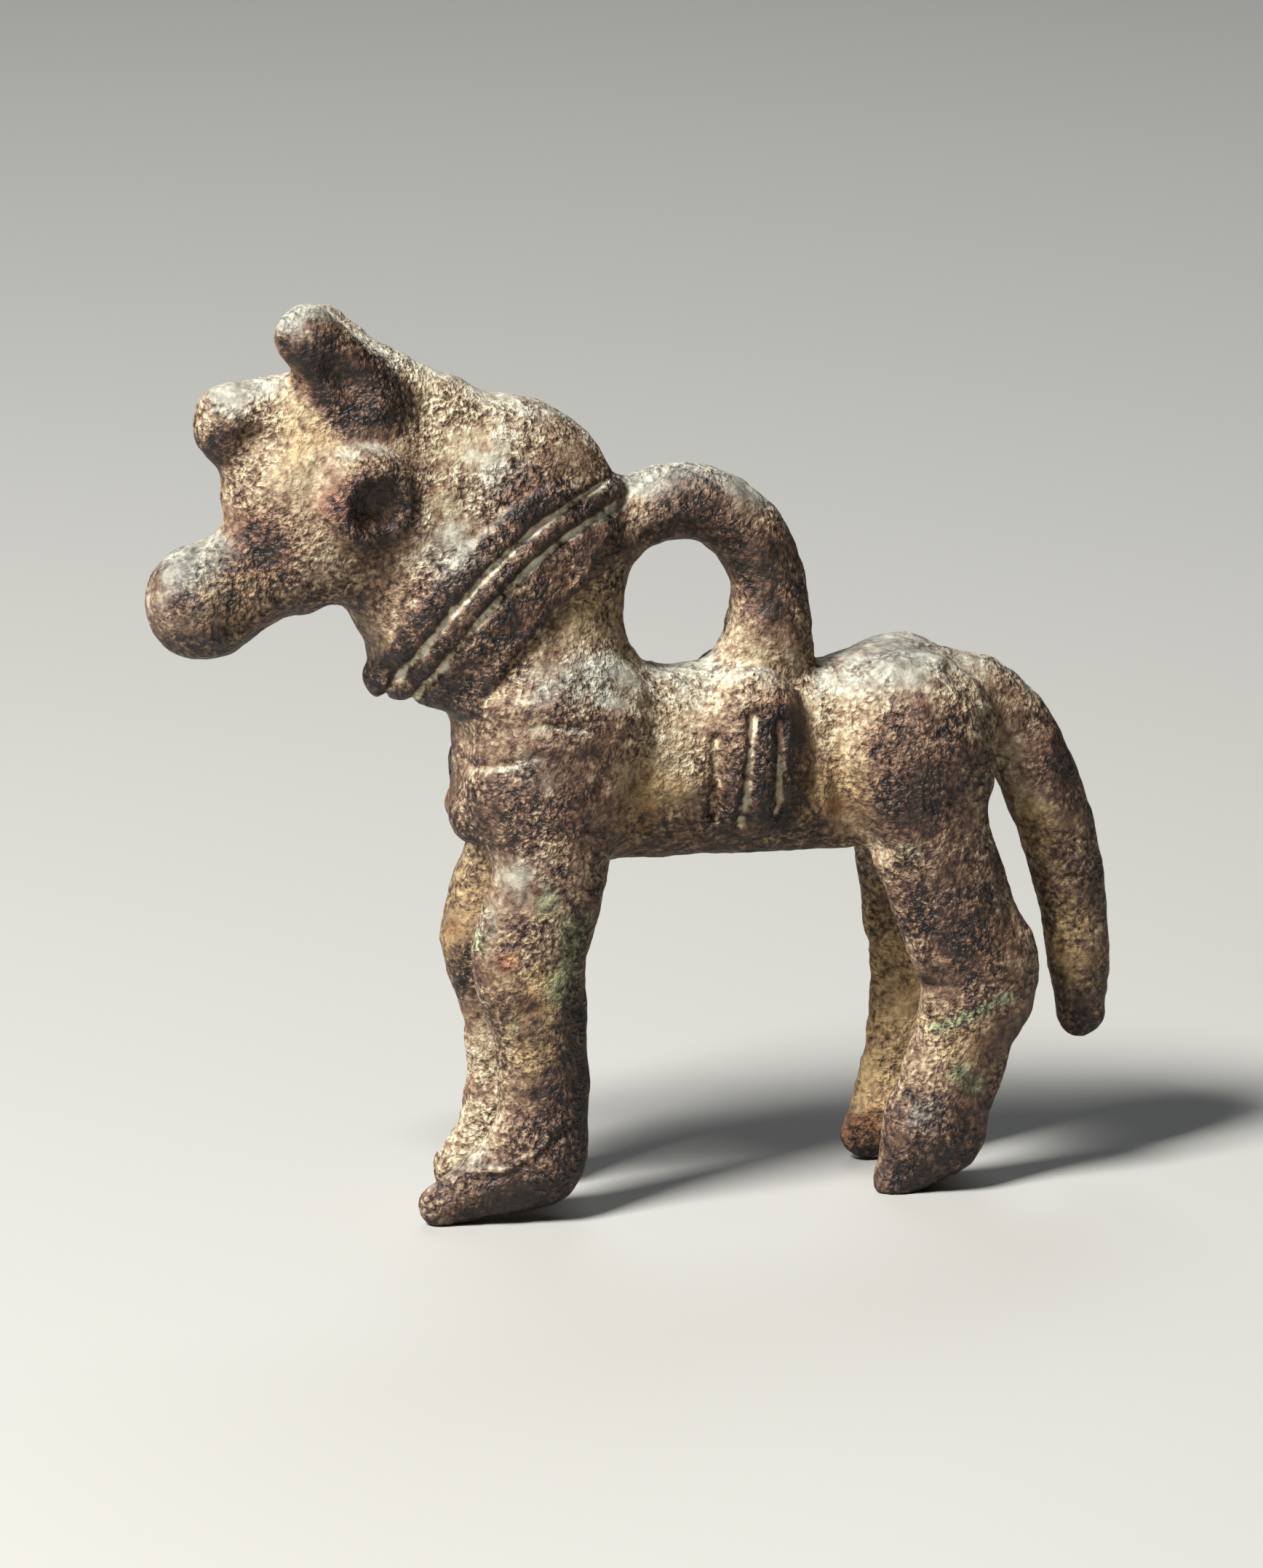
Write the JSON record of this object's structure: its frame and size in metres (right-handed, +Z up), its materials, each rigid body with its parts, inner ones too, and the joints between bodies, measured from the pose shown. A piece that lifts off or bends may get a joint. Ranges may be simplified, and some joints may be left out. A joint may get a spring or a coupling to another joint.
{
  "type": "cast bronze horse figurine with a suspension loop",
  "caption": "Small solid-cast bronze horse standing on its own feet, with a harness collar, engraved ribs, a free-hanging tail and a loop on the withers for hanging it.",
  "frame": {"origin": "middle of the bounding box on the plane that the feet stand on", "axes": "+X from the head towards the tail, +Y from the left flank to the right flank, +Z up"},
  "size_m": [0.0518, 0.0114, 0.0483],
  "materials": {
    "patinated_bronze": "dark umber bronze patina, worn smooth on the high forms, with pale tan soil in the hollows and a little green and rust-orange corrosion"
  },
  "bodies": {
    "root": {"horse_with_loop": "patinated_bronze"}
  },
  "joints": []
}
